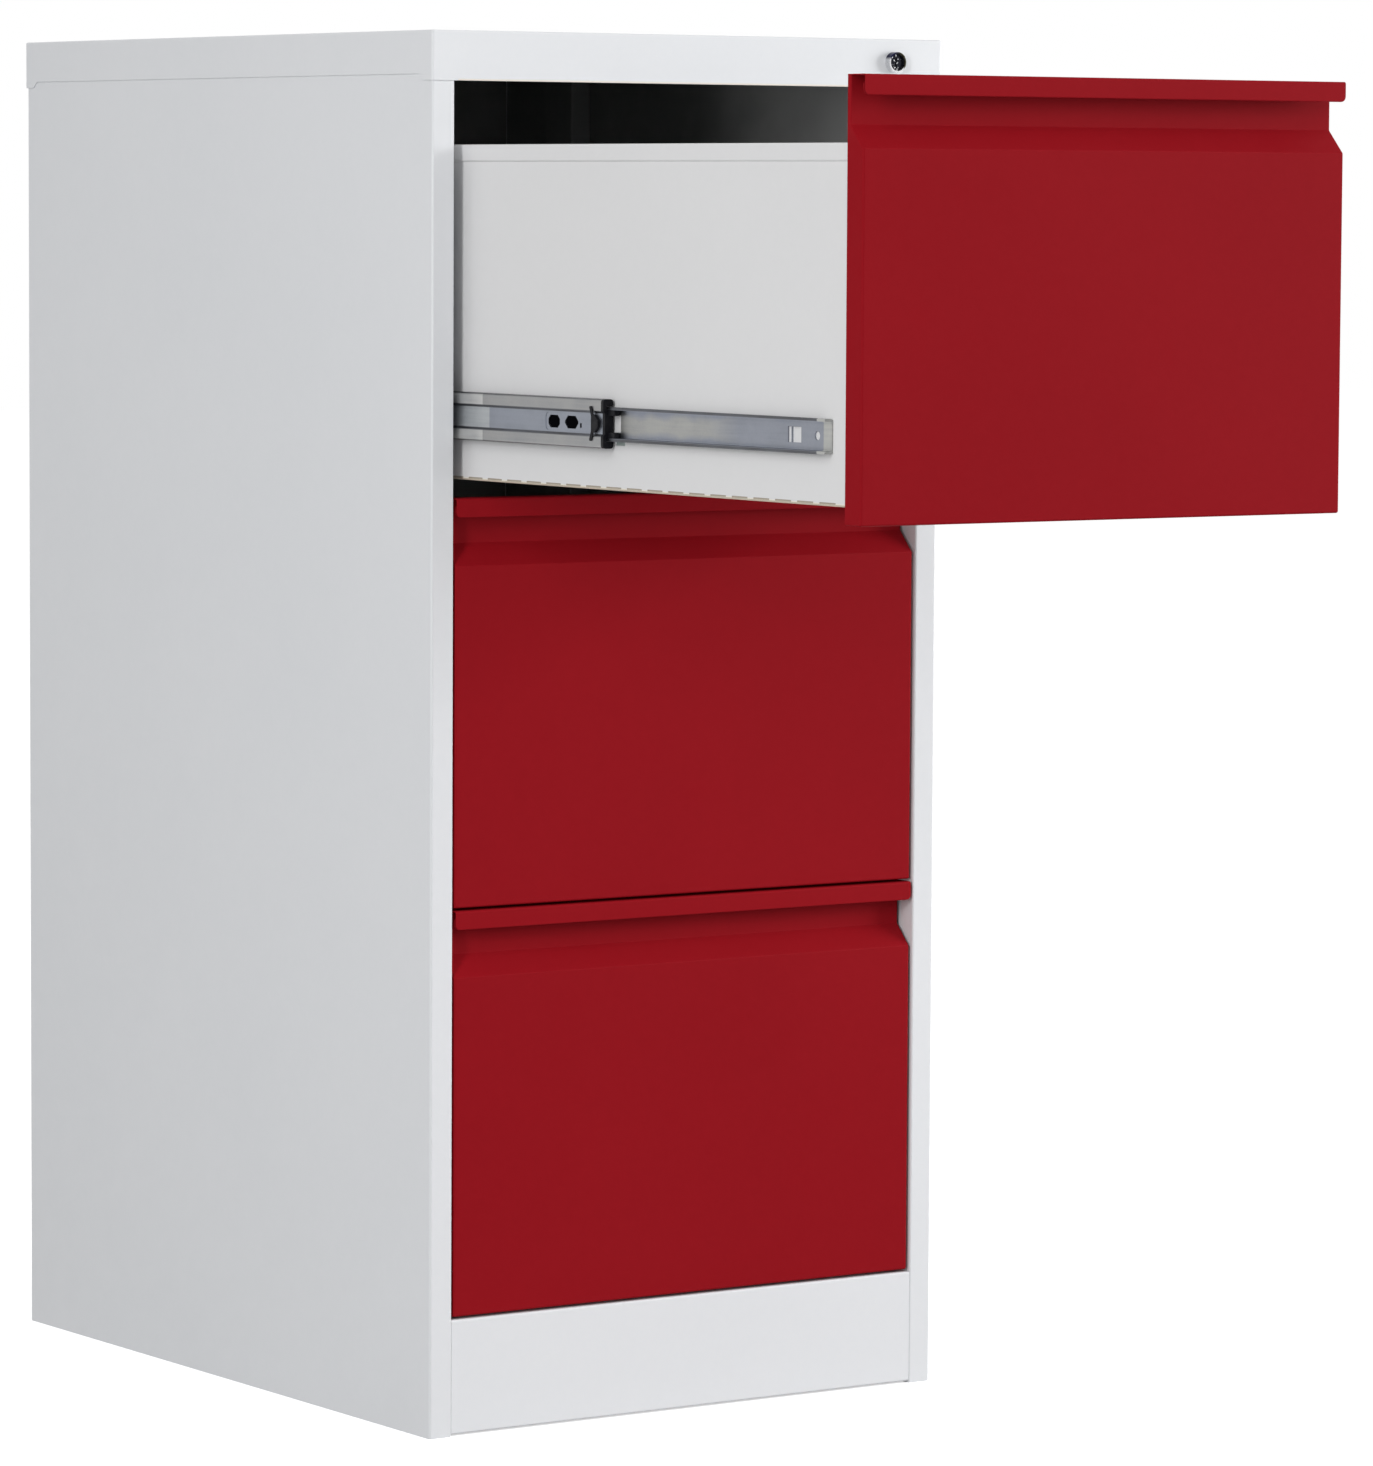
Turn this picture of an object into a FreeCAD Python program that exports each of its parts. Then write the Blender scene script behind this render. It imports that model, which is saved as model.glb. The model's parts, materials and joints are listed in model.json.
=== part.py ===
import FreeCAD, Part
import math
import os

from FreeCAD import Vector

# A three-drawer steel filing cabinet with its top drawer pulled out.
# Millimetres. X runs to the right, Y to the back, Z up. The origin is on the floor, at the middle
# of the cabinet's footprint. Drawer pieces are drawn shut, then moved to where they stand at rest.

# Body
cabinet_width = 460.0
cabinet_depth = 620.0
plinth_height = 87.5
sheet = 0.7
fold = 1.0
corner_fold = 1.0

# Cap over the body
cap_skirt_front = 36.5
cap_skirt_side = 31.7
cap_wrap = 12.0
cap_wrap_slope = 6.0
cap_corner_radius = 2.0
cap_top_radius = 1.2
cap_flange = 13.0
cap_side_fit = 0.2
cap_front_fit = 0.3
cap_back_fit = 1.3

# Side panels with their stiles
stile_width = 19.1
stile_return = 22.0
stile_fold = 0.5
stile_lip = 8.0
rear_flange = 15.0
foot_flange = 16.0

# Plinth, base pan and back
plinth_fit = 0.15
plinth_recess = 0.4
plinth_lift = 1.5
plinth_foot = 19.0
plinth_shelf_lip = 10.0
pan_drop = 17.5
pan_flange = 15.0
pan_gap = 0.5
back_fit = 0.1

# Uprights that carry the slides
upright_sheet = 1.0
upright_width = 40.0
upright_lip = 10.0
upright_inset = 0.5
rear_upright_setback = 20.0
hook_slot_fit = 0.4

# Rail behind the cap's skirt
rail_sheet = 1.2
rail_depth = 20.0

# Drawer fronts
drawer_names = ("bottom", "middle", "top")
front_height = 303.0
front_gap = 2.0
top_gap = 1.0
front_side_gap = 2.6
front_recess = 1.0
front_depth = 18.5
front_sheet = 0.7
front_edge_radius = 1.3
lip_proud = 1.7
lip_height = 14.1
lip_corner_radius = 4.0
hem_width = 2.3
hem_return = 8.0
hem_fold = 0.2
neck_depth = 15.3
neck_bottom = 33.7
slope_bottom = 49.8
liner_fit = 0.2

# Drawer bodies
tray_sheet = 0.7
tray_fold = 0.8
tray_rise = 11.5
tray_top_drop = 45.7
tray_depth = 531.0
band_height = 11.6
band_proud = 1.2
rail_width = 8.0
rail_drop = 6.5
tray_back_drop = 14.5
tray_back_flange = 12.0
tray_back_fit = 0.05
slot_length = 19.0
slot_pitch = 26.3
slot_height = 1.2
slot_depth = 0.4
slot_rise = 1.3
first_slot = 25.8
tray_hook_backs = (284.0, 470.0)
tray_hook_slot_length = 12.5
tray_hook_slot_drop = 4.0
tray_hook_width = 12.1
tray_hook_height = 5.0

# Telescopic slides
slide_thickness = 12.7
slide_rise = 59.0
slide_steel = 1.2
slide_fold = 0.7
slide_front_setback = 46.0
cabinet_member_length = 500.0
cabinet_member_height = 45.7
cabinet_member_depth = 10.2
cabinet_member_lip = 3.2
middle_member_length = 460.0
middle_member_height = 35.0
middle_member_depth = 8.4
middle_member_setback = 16.0
middle_member_gap = 1.0
middle_band = 8.5
middle_step = 1.5
drawer_member_length = 495.0
drawer_member_height = 22.6
drawer_member_depth = 7.1
drawer_member_setback = 1.5
drawer_member_lip = 0.9
drawer_member_flare = 0.7
flare_length = 10.0
hook_thickness = 1.2
hook_width = 8.0
hook_height = 8.0
hook_fit = 0.2
front_window_length = 11.0
front_window_height = 10.8
front_window_back = 65.0
rear_window_length = 12.9
rear_window_height = 12.6
rear_window_back = 287.5
window_slit = 4.2
window_bridge = 0.8
slide_hole_radius = 3.1
slide_hole_back = 46.0
web_hole_height = 9.2
web_hole_backs = (32.3, 56.6)
web_hole_lengths = (17.6, 15.0)
web_hole_cuts = (3.8, 2.8)
web_pip_back = 28.0
web_pip_length = 2.2
web_pip_height = 3.5
web_pip_corner = 0.5
web_pip_drop = 2.0
emboss_back = 24.0
emboss_length = 51.0
emboss_height = 13.0
emboss_corner = 4.0
emboss_depth = 0.3

# Ball retainers
ball_radius = 1.75
inner_ball_radius = 2.1
ball_pocket_fit = 0.2
balls_per_row = 6
retainer_length = 180.0
retainer_steel = 0.4
retainer_gap = 0.3
inner_retainer_steel = 0.3
inner_retainer_gap = 0.2

# Plastic bumpers on the intermediate members, each with two prongs, and the springs behind them
bumper_length = 3.0
bumper_proud = 0.3
bumper_flange = 4.9
bumper_bar = 7.0
bumper_bar_height = 19.2
bumper_round = 2.3
prong_length = 8.5
prong_height = 3.8
prong_width = 4.4
prong_fit = 0.3
spring_back = 12.2
spring_bulge = 8.7
spring_height = 12.8
spring_waist = 5.0
spring_shoulder = 4.0
spring_tail = 6.0
spring_tail_slant = 2.6
spring_tail_width = 3.0
spring_round = 1.0
spring_side_gap = 0.2

# Travel of the drawers
drawer_travel = 511.0
open_drawer = "top"
middle_member_ratio = 0.5

# Lock and the bracket that holds it
lock_from_side = 45.3
lock_rise = 18.9
lock_bracket_reach = 13.0
bezel_base_radius = 8.0
bezel_front_radius = 7.8
bezel_length = 5.5
bezel_mouth_radius = 6.6
bezel_mouth_depth = 3.0
housing_radius = 6.4
housing_length = 26.0
housing_fit = 0.2
plug_radius = 5.5
plug_fit = 0.05
plug_face_depth = 2.6
keyway_width = 1.3
keyway_height = 7.0
keyway_depth = 9.0
tail_width = 6.0
tail_fit = 0.05
nut_sides = 6
nut_flats = 19.0
nut_thickness = 4.0
cam_thickness = 2.0
cam_gap = 0.5
cam_hub_radius = 7.0
cam_throw = 7.07
cam_ear_wall = 1.5
cam_pin_radius = 2.0
cam_pin_length = 7.0
cam_rest_angle = 225.0
lock_turn = 90.0

# Lock bar, its guides and the strikers on the drawers
bar_gap = 3.5
bar_thickness = 2.0
bar_width = 14.0
bar_side_gap = 2.4
bar_arm_height = 16.0
bar_arm_overrun = 8.0
bar_slot_fit = 0.4
bar_bottom_run = 30.0
hook_arm_reach = 13.0
hook_arm_height = 8.0
striker_rise = 200.0
striker_height = 12.0
striker_reach = 8.0
striker_thickness = 2.0
striker_foot = 15.0
striker_gap = 0.5
striker_drop_gap = 1.5
guide_wall = 1.7
guide_gap = 0.3
guide_height = 12.0
guide_rises = (262.0, 567.0, 872.0)

# How far a cutting shape runs past the metal, and how near two edges count as one
overcut = 1.0
nearness = 0.01

# Sizes that follow from the ones above
drawer_count = len(drawer_names)
front_pitch = front_height + front_gap
cap_edge = plinth_height + drawer_count * front_pitch + top_gap
cabinet_height = cap_edge + cap_skirt_front
cap_underside = cabinet_height - sheet
half_width = cabinet_width / 2
half_depth = cabinet_depth / 2
body_half = half_width - sheet - cap_side_fit
wall_half = body_half - sheet
stile_face = -half_depth + sheet + cap_front_fit
body_back = half_depth - sheet - cap_back_fit
back_inner = body_back - 2 * sheet
opening_half = body_half - stile_width
pan_top = plinth_height - pan_drop

mount_half = opening_half - upright_inset
tray_half = mount_half - slide_thickness
front_half = opening_half - front_side_gap
front_face = stile_face + front_recess
lip_face = front_face - lip_proud
neck_face = front_face + neck_depth
front_back = front_face + front_depth
liner_front = neck_face + front_sheet
tray_front = liner_front + sheet
tray_rear = tray_front + tray_depth
tray_top = front_height - tray_top_drop

slide_front = front_face + slide_front_setback
middle_front = slide_front + middle_member_setback
drawer_member_front = slide_front + drawer_member_setback
drawer_member_low = slide_rise - drawer_member_height / 2
tray_hook_low = drawer_member_low - tray_hook_slot_drop
tray_hook_z = drawer_member_low + tray_hook_height / 2 + hook_fit
middle_outer = mount_half - slide_steel - middle_member_gap
front_upright_y = slide_front
rear_upright_y = slide_front + cabinet_member_length - upright_width - rear_upright_setback

lock_x = half_width - lock_from_side
lock_z = cap_edge + lock_rise
lock_bracket_edge = lock_x - lock_bracket_reach
rail_back = -half_depth + sheet + rail_sheet
housing_back = -half_depth + housing_length
plug_tail_back = housing_back + cam_gap + cam_thickness
cam_back = plug_tail_back
bar_front = cam_back + bar_gap
bar_back = bar_front + bar_thickness
bar_inner = opening_half + bar_side_gap
bar_outer = bar_inner + bar_width
bar_lift = 2 * cam_throw * math.sin(math.radians(lock_turn / 2))
striker_front = bar_back + striker_gap


def plane_xy(a, b):
    return Vector(a, b, 0.0)


def plane_yz(a, b):
    return Vector(0.0, a, b)


def plane_xz(a, b):
    return Vector(a, 0.0, b)


def block(x0, x1, y0, y1, z0, z1):
    """A box between two corners."""
    return Part.makeBox(x1 - x0, y1 - y0, z1 - z0, Vector(x0, y0, z0))


def along_y(radius, x, z, y0, y1):
    """A round bar that runs from y0 to y1."""
    return Part.makeCylinder(radius, y1 - y0, Vector(x, y0, z), Vector(0, 1, 0))


def outline_face(points, radii, plane):
    """A flat face inside a closed outline whose corners are rounded by the given radii."""
    starts = []
    arcs = []
    count = len(points)
    for i in range(count):
        here = points[i]
        before = points[i - 1]
        after = points[(i + 1) % count]
        radius = radii[i]
        if radius <= 0:
            starts.append((here, here))
            arcs.append(None)
            continue
        in_length = math.dist(before, here)
        out_length = math.dist(here, after)
        to_before = ((before[0] - here[0]) / in_length, (before[1] - here[1]) / in_length)
        to_after = ((after[0] - here[0]) / out_length, (after[1] - here[1]) / out_length)
        half_angle = math.acos(to_before[0] * to_after[0] + to_before[1] * to_after[1]) / 2
        reach = radius / math.tan(half_angle)
        bisector = (to_before[0] + to_after[0], to_before[1] + to_after[1])
        size = math.hypot(*bisector)
        to_middle = radius / math.sin(half_angle) - radius
        first = (here[0] + to_before[0] * reach, here[1] + to_before[1] * reach)
        last = (here[0] + to_after[0] * reach, here[1] + to_after[1] * reach)
        middle = (here[0] + bisector[0] / size * to_middle, here[1] + bisector[1] / size * to_middle)
        starts.append((first, last))
        arcs.append(middle)
    edges = []
    for i in range(count):
        first, last = starts[i]
        if arcs[i] is not None:
            edges.append(Part.Arc(plane(*first), plane(*arcs[i]), plane(*last)).toShape())
        following = starts[(i + 1) % count][0]
        if math.dist(last, following) > nearness / 1000:
            edges.append(Part.makeLine(plane(*last), plane(*following)))
    return Part.Face(Part.Wire(edges))


def beside(path, distance):
    """The line that runs beside a path, to the right of the walk along it."""
    rights = []
    for (a, b), (c, d) in zip(path, path[1:]):
        length = math.hypot(c - a, d - b)
        rights.append(((d - b) / length, (a - c) / length))
    line = [(path[0][0] + rights[0][0] * distance, path[0][1] + rights[0][1] * distance)]
    for point, one, two in zip(path[1:-1], rights, rights[1:]):
        scale = distance / (1 + one[0] * two[0] + one[1] * two[1])
        line.append((point[0] + (one[0] + two[0]) * scale, point[1] + (one[1] + two[1]) * scale))
    line.append((path[-1][0] + rights[-1][0] * distance, path[-1][1] + rights[-1][1] * distance))
    return line


def folded(path, thickness, folds, plane, run):
    """A folded sheet. Its metal lies to the right of the walk along the path."""
    inner = beside(path, thickness)
    outer_radii = [0.0]
    inner_radii = [0.0]
    for i in range(1, len(path) - 1):
        ax = path[i][0] - path[i - 1][0]
        ay = path[i][1] - path[i - 1][1]
        bx = path[i + 1][0] - path[i][0]
        by = path[i + 1][1] - path[i][1]
        turns_right = ax * by - ay * bx < 0
        radius = folds[i - 1]
        outer_radii.append(radius + thickness if turns_right else radius)
        inner_radii.append(radius if turns_right else radius + thickness)
    outer_radii.append(0.0)
    inner_radii.append(0.0)
    points = list(path) + inner[::-1]
    radii = outer_radii + inner_radii[::-1]
    return outline_face(points, radii, plane).extrude(run)


def fused(shapes):
    """Several touching solids joined to one."""
    whole = shapes[0].multiFuse(shapes[1:])
    return whole.removeSplitter()


def mirrored(shape):
    """The same piece for the cabinet's other side."""
    return shape.mirror(Vector(0, 0, 0), Vector(1, 0, 0))


def moved(shape, x, y, z):
    copy = shape.copy()
    copy.translate(Vector(x, y, z))
    return copy


def front_bottom(index):
    """Height of the lower edge of a drawer front, counted from the bottom drawer."""
    return plinth_height + front_gap + index * front_pitch


def shown_open(name):
    """How far a drawer stands out at rest."""
    return drawer_travel if name == open_drawer else 0.0


def side_panel():
    """Left side: panel, front stile with its return and lip, rear flange and foot."""
    return_y = stile_face + stile_return
    path = [
        (-opening_half - stile_lip, return_y),
        (-opening_half, return_y),
        (-opening_half, stile_face),
        (-body_half, stile_face),
        (-body_half, body_back),
        (-body_half + rear_flange, body_back),
    ]
    folds = [fold, stile_fold, corner_fold, corner_fold]
    wall = folded(path, sheet, folds, plane_xy, Vector(0, 0, cap_underside))
    foot = block(-wall_half, -body_half + foot_flange, return_y + fold, back_inner, 0, sheet)
    return fused([wall, foot])


def back_panel():
    half = wall_half - corner_fold - back_fit
    return block(-half, half, back_inner, back_inner + sheet, plinth_lift, cap_underside)


def top_cap():
    """Lid with a skirt all round. The skirt is deeper at the front, the back and the corners."""
    outer = block(-half_width, half_width, -half_depth, half_depth, cap_edge, cabinet_height)
    upright_edges = [e for e in outer.Edges if abs(e.Vertexes[0].Z - e.Vertexes[1].Z) > sheet]
    outer = outer.makeFillet(cap_corner_radius, upright_edges)
    top_edges = [e for e in outer.Edges if e.BoundBox.ZMin > cabinet_height - nearness]
    outer = outer.makeFillet(cap_top_radius, top_edges)
    inner_x = half_width - sheet
    inner_y = half_depth - sheet
    inner = block(-inner_x, inner_x, -inner_y, inner_y, cap_edge - sheet, cap_underside)
    inner_edges = [e for e in inner.Edges if abs(e.Vertexes[0].Z - e.Vertexes[1].Z) > sheet]
    inner = inner.makeFillet(cap_corner_radius - sheet, inner_edges)
    shell = outer.cut(inner)
    side_edge = cabinet_height - cap_skirt_side
    below = cap_edge - sheet
    slope_run = cap_wrap_slope * (side_edge - below) / (side_edge - cap_edge)
    trim = [
        (-half_depth + cap_wrap, below),
        (half_depth - cap_wrap, below),
        (half_depth - cap_wrap - slope_run, side_edge),
        (-half_depth + cap_wrap + slope_run, side_edge),
    ]
    trim_face = outline_face(trim, [0, 0, sheet, sheet], plane_yz)
    trim_face.translate(Vector(-half_width - sheet, 0, 0))
    shell = shell.cut(trim_face.extrude(Vector(cabinet_width + 2 * sheet, 0, 0)))
    flange_half = opening_half - plinth_fit
    flange_back = -half_depth + cap_flange
    flange = block(-flange_half, flange_half, -inner_y, flange_back, cap_edge, cap_edge + sheet)
    cap = fused([shell, flange])
    hole_back = -half_depth + sheet + overcut
    hole = along_y(housing_radius + housing_fit, lock_x, lock_z, -half_depth - overcut, hole_back)
    return cap.cut(hole)


def plinth():
    """Kick panel between the stiles, with a shelf along its top and a foot along its bottom."""
    face_y = stile_face + plinth_recess
    shelf_y = stile_face + stile_return
    path = [
        (face_y + plinth_foot, plinth_lift),
        (face_y, plinth_lift),
        (face_y, plinth_height),
        (shelf_y, plinth_height),
        (shelf_y, plinth_height - plinth_shelf_lip),
    ]
    half = opening_half - plinth_fit
    panel = folded(path, sheet, [fold] * 3, plane_yz, Vector(2 * half, 0, 0))
    return moved(panel, -half, 0, 0)


def base_pan():
    """Floor of the cabinet, folded down at both sides."""
    path = [
        (-wall_half, pan_top - pan_flange),
        (-wall_half, pan_top),
        (wall_half, pan_top),
        (wall_half, pan_top - pan_flange),
    ]
    start = stile_face + stile_return + pan_gap
    end = body_back - sheet - corner_fold
    pan = folded(path, sheet, [fold, fold], plane_xz, Vector(0, end - start, 0))
    return moved(pan, 0, start, 0)


def upright(front_y):
    """Left post between the base pan and the cap, slotted for the hooks of the slides."""
    rear_y = front_y + upright_width
    path = [
        (-wall_half, rear_y - upright_lip),
        (-wall_half, rear_y),
        (-mount_half, rear_y),
        (-mount_half, front_y),
        (-wall_half, front_y),
        (-wall_half, front_y + upright_lip),
    ]
    post = folded(path, upright_sheet, [fold] * 4, plane_xy, Vector(0, 0, cap_underside - pan_top))
    post = moved(post, 0, 0, pan_top)
    slots = []
    middle_y = front_y + upright_width / 2
    for index in range(drawer_count):
        centre_z = front_bottom(index) + slide_rise
        slots.append(block(
            -mount_half - 2 * upright_sheet,
            -mount_half + upright_sheet,
            middle_y - hook_width / 2 - hook_slot_fit,
            middle_y + hook_width / 2 + hook_slot_fit,
            centre_z - hook_height - hook_slot_fit,
            centre_z + hook_height / 2 + hook_slot_fit,
        ))
    return post.cut(Part.makeCompound(slots))


def channel_behind_skirt(x0, x1):
    """Channel between the cap's skirt, its flange and its top, from x0 to x1."""
    front_y = -half_depth + sheet
    path = [
        (front_y + rail_depth, cap_edge + sheet),
        (front_y, cap_edge + sheet),
        (front_y, cap_underside),
        (front_y + rail_depth, cap_underside),
    ]
    channel = folded(path, rail_sheet, [fold, fold], plane_yz, Vector(x1 - x0, 0, 0))
    return moved(channel, x0, 0, 0)


def top_front_rail():
    """Stiffening channel that runs from the left stile to the lock's bracket."""
    return channel_behind_skirt(-opening_half + plinth_fit, lock_bracket_edge)


def lock_bracket():
    """Short channel at the right stile, which the lock passes through."""
    bracket = channel_behind_skirt(lock_bracket_edge, opening_half - plinth_fit)
    hole_radius = housing_radius + housing_fit
    return bracket.cut(along_y(hole_radius, lock_x, lock_z, -half_depth, rail_back + overcut))


def hook(wall_x, side, wall, middle_y, arm_z, width, height):
    """A hook through a slot in a wall: an arm, then a tab that hangs down behind the wall."""
    y0 = middle_y - width / 2
    y1 = middle_y + width / 2
    near = wall_x + side * (wall + hook_fit)
    far = near + side * hook_thickness
    arm_low = arm_z - height / 2
    arm_high = arm_z + height / 2
    arm = block(min(wall_x, far), max(wall_x, far), y0, y1, arm_low, arm_high)
    tab = block(min(near, far), max(near, far), y0, y1, arm_low - height, arm_high)
    return fused([arm, tab])


def cabinet_member():
    """Left slide member that hooks into the uprights. Height zero is the slide's middle."""
    half = cabinet_member_height / 2
    tip = -mount_half + cabinet_member_depth
    path = [
        (tip, -half + cabinet_member_lip),
        (tip, -half),
        (-mount_half, -half),
        (-mount_half, half),
        (tip, half),
        (tip, half - cabinet_member_lip),
    ]
    channel = folded(path, slide_steel, [slide_fold] * 4, plane_xz, Vector(0, cabinet_member_length, 0))
    pieces = [moved(channel, 0, slide_front, 0)]
    for post_y in (front_upright_y, rear_upright_y):
        middle_y = post_y + upright_width / 2
        pieces.append(hook(-mount_half, -1, upright_sheet, middle_y, 0, hook_width, hook_height))
    return fused(pieces)


def rounded_bar(length, height, corner, depth):
    """A bar along X whose rounded section starts at Y zero and is centred on Z zero."""
    half = height / 2
    outline = [(0, -half), (length, -half), (length, half), (0, half)]
    return outline_face(outline, [corner] * 4, plane_yz).extrude(Vector(depth, 0, 0))


def faceted_bar(length, height, corner, depth):
    """The same bar with straight cuts across its corners."""
    half = height / 2
    outline = [
        (0, -half + corner),
        (corner, -half),
        (length - corner, -half),
        (length, -half + corner),
        (length, half - corner),
        (length - corner, half),
        (corner, half),
        (0, half - corner),
    ]
    return outline_face(outline, [0] * 8, plane_yz).extrude(Vector(depth, 0, 0))


def middle_member():
    """Left intermediate member. Its web is stepped in between two bands."""
    half = middle_member_height / 2
    tip = -middle_outer + middle_member_depth
    band = half - middle_band
    step_x = -middle_outer + middle_step
    path = [
        (tip, -half),
        (-middle_outer, -half),
        (-middle_outer, -band),
        (step_x, -band + middle_step),
        (step_x, band - middle_step),
        (-middle_outer, band),
        (-middle_outer, half),
        (tip, half),
    ]
    small = slide_fold / 2
    folds = [slide_fold, small, small, small, small, slide_fold]
    channel = folded(path, slide_steel, folds, plane_xz, Vector(0, middle_member_length, 0))
    channel = moved(channel, 0, middle_front, 0)
    cuts = []
    web_x = -middle_outer + middle_step
    for back, length, corner in zip(web_hole_backs, web_hole_lengths, web_hole_cuts):
        hole = faceted_bar(length, web_hole_height, corner, middle_member_depth)
        cuts.append(moved(hole, -middle_outer, middle_front + back, 0))
    pip = rounded_bar(web_pip_length, web_pip_height, web_pip_corner, middle_member_depth)
    cuts.append(moved(pip, -middle_outer, middle_front + web_pip_back, -web_pip_drop))
    emboss = rounded_bar(emboss_length, emboss_height, emboss_corner, 2 * emboss_depth)
    cuts.append(moved(emboss, web_x - emboss_depth, middle_front + emboss_back, 0))
    return channel.cut(Part.makeCompound(cuts))


def drawer_member():
    """Left member on the drawer, open towards the cabinet side, with windows and a flared end."""
    half = drawer_member_height / 2
    tip = -tray_half - drawer_member_depth
    path = [(tip, half), (-tray_half, half), (-tray_half, -half), (tip, -half)]
    folds = [slide_fold, slide_fold]
    channel = folded(path, slide_steel, folds, plane_xz, Vector(0, drawer_member_length, 0))
    pieces = [moved(channel, 0, drawer_member_front, 0)]
    y0 = drawer_member_front + flare_length
    y1 = drawer_member_front + drawer_member_length
    lip_top = half + drawer_member_lip
    edge = half - slide_fold / 2
    pieces.append(block(tip, tip + slide_steel, y0, y1, edge, lip_top))
    pieces.append(block(tip, tip + slide_steel, y0, y1, -lip_top, -edge))
    flare = half + drawer_member_flare
    wide = [(tip, flare), (-tray_half, flare), (-tray_half, -flare), (tip, -flare)]
    flare_sheet = slide_steel + drawer_member_flare
    end = folded(wide, flare_sheet, folds, plane_xz, Vector(0, flare_length, 0))
    web = block(-tray_half - slide_steel, -tray_half, 0, flare_length, -half, half)
    cut_back = block(
        -tray_half - flare_sheet - slide_fold, -tray_half - slide_steel,
        0, flare_length, -half + slide_steel + slide_fold, half - slide_steel - slide_fold,
    )
    end = fused([end.cut(cut_back), web])
    pieces.append(moved(end, 0, drawer_member_front, 0))
    for back in tray_hook_backs:
        middle_y = front_back + back + tray_hook_slot_length / 2
        arm_z = tray_hook_z - slide_rise
        pieces.append(hook(-tray_half, 1, tray_sheet, middle_y, arm_z, tray_hook_width, tray_hook_height))
    member = fused(pieces)
    cuts = []
    x0 = -tray_half - slide_steel - overcut
    x1 = -tray_half + overcut
    windows = (
        (front_window_back, front_window_length, front_window_height),
        (rear_window_back, rear_window_length, rear_window_height),
    )
    for back, length, height in windows:
        y0 = front_back + back
        cuts.append(block(x0, x1, y0, y0 + length, -height / 2, height / 2))
        slit = y0 + length + window_bridge
        cuts.append(block(x0, x1, slit, slit + window_slit, -height / 2, height / 2))
    hole_start = Vector(x0, front_back + slide_hole_back, 0)
    cuts.append(Part.makeCylinder(slide_hole_radius, x1 - x0, hole_start, Vector(1, 0, 0)))
    return member.cut(Part.makeCompound(cuts))


def ball_retainer(web_x, steel, leg_tip, row_height, ball_x, start_y, radius):
    """A folded strip that holds two rows of balls, one above and one below the slide's middle."""
    leg = row_height + steel / 2
    path = [(leg_tip, -leg), (web_x, -leg), (web_x, leg), (leg_tip, leg)]
    strip = folded(path, steel, [steel, steel], plane_xz, Vector(0, retainer_length, 0))
    strip = moved(strip, 0, start_y, 0)
    pitch = retainer_length / balls_per_row
    pockets = []
    balls = []
    for i in range(balls_per_row):
        y = start_y + pitch * (i + 0.5)
        pocket_start = Vector(ball_x, y, -leg - overcut)
        pockets.append(Part.makeCylinder(radius + ball_pocket_fit, 2 * (leg + overcut), pocket_start))
        for z in (-row_height, row_height):
            balls.append(Part.makeSphere(radius, Vector(ball_x, y, z)))
    strip = strip.cut(Part.makeCompound(pockets))
    return [strip] + balls


def outer_retainer():
    """Left retainer between the cabinet member and the intermediate member."""
    flange_inner = cabinet_member_height / 2 - slide_steel
    flange_outer = middle_member_height / 2
    web_x = -mount_half + slide_steel + retainer_gap
    ball_x = -mount_half + cabinet_member_depth / 2
    leg_tip = -mount_half + cabinet_member_depth - slide_steel - slide_fold
    row_height = (flange_inner + flange_outer) / 2
    closed_start = slide_front + outer_retainer_setback
    return ball_retainer(web_x, retainer_steel, leg_tip, row_height, ball_x, closed_start, ball_radius)


def inner_retainer():
    """Left retainer between the intermediate member and the drawer member."""
    flange_inner = middle_member_height / 2 - slide_steel
    flange_outer = drawer_member_height / 2
    web_x = -middle_outer + middle_step + slide_steel + inner_retainer_gap
    ball_x = -tray_half - drawer_member_depth / 2 - slide_steel / 2
    leg_tip = -middle_outer + middle_member_depth - slide_steel / 2
    row_height = (flange_inner + flange_outer) / 2
    closed_start = middle_front + inner_retainer_setback
    steel = inner_retainer_steel
    return ball_retainer(web_x, steel, leg_tip, row_height, ball_x, closed_start, inner_ball_radius)


# Each retainer stays inside the overlap of its two members, at half their relative travel.
middle_travel = drawer_travel * middle_member_ratio
outer_overlap = cabinet_member_length - middle_travel
outer_retainer_setback = (outer_overlap + middle_member_setback - retainer_length + middle_travel) / 2
inner_travel = drawer_travel - middle_travel
inner_overlap = drawer_member_length - inner_travel - middle_member_setback + drawer_member_setback
inner_retainer_setback = (inner_overlap - retainer_length + inner_travel) / 2


def bumper():
    """Left bumper: a cap on the front end of the intermediate member, with prongs in the drawer member."""
    y0 = middle_front - bumper_length
    outer = -middle_outer - bumper_proud
    inner = -middle_outer + middle_member_depth
    half = middle_member_height / 2
    band = half - middle_band
    step = outer + middle_step
    throat = half - bumper_flange
    bar_half = bumper_bar_height / 2
    right_side = [
        (outer, half),
        (inner, half),
        (inner, throat),
        (step + middle_step, throat),
        (step + middle_step, bar_half),
        (step + bumper_bar, bar_half),
    ]
    outline = [(step, band - middle_step), (outer, band)] + right_side
    outline += [(x, -z) for x, z in outline[::-1]]
    lobe = bumper_round
    radii = [0, 0, lobe, lobe, lobe / 2, 0, lobe / 2, 0]
    radii += radii[::-1]
    cap = outline_face(outline, radii, plane_xz).extrude(Vector(0, bumper_length, 0))
    pieces = [moved(cap, 0, y0, 0)]
    prong_x = -tray_half - drawer_member_depth + prong_fit
    prong_top = drawer_member_height / 2 - slide_steel - prong_fit
    for z0 in (prong_top - prong_height, -prong_top):
        x1 = prong_x + prong_width
        pieces.append(block(prong_x, x1, y0 - prong_length, middle_front, z0, z0 + prong_height))
    return fused(pieces)


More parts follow.
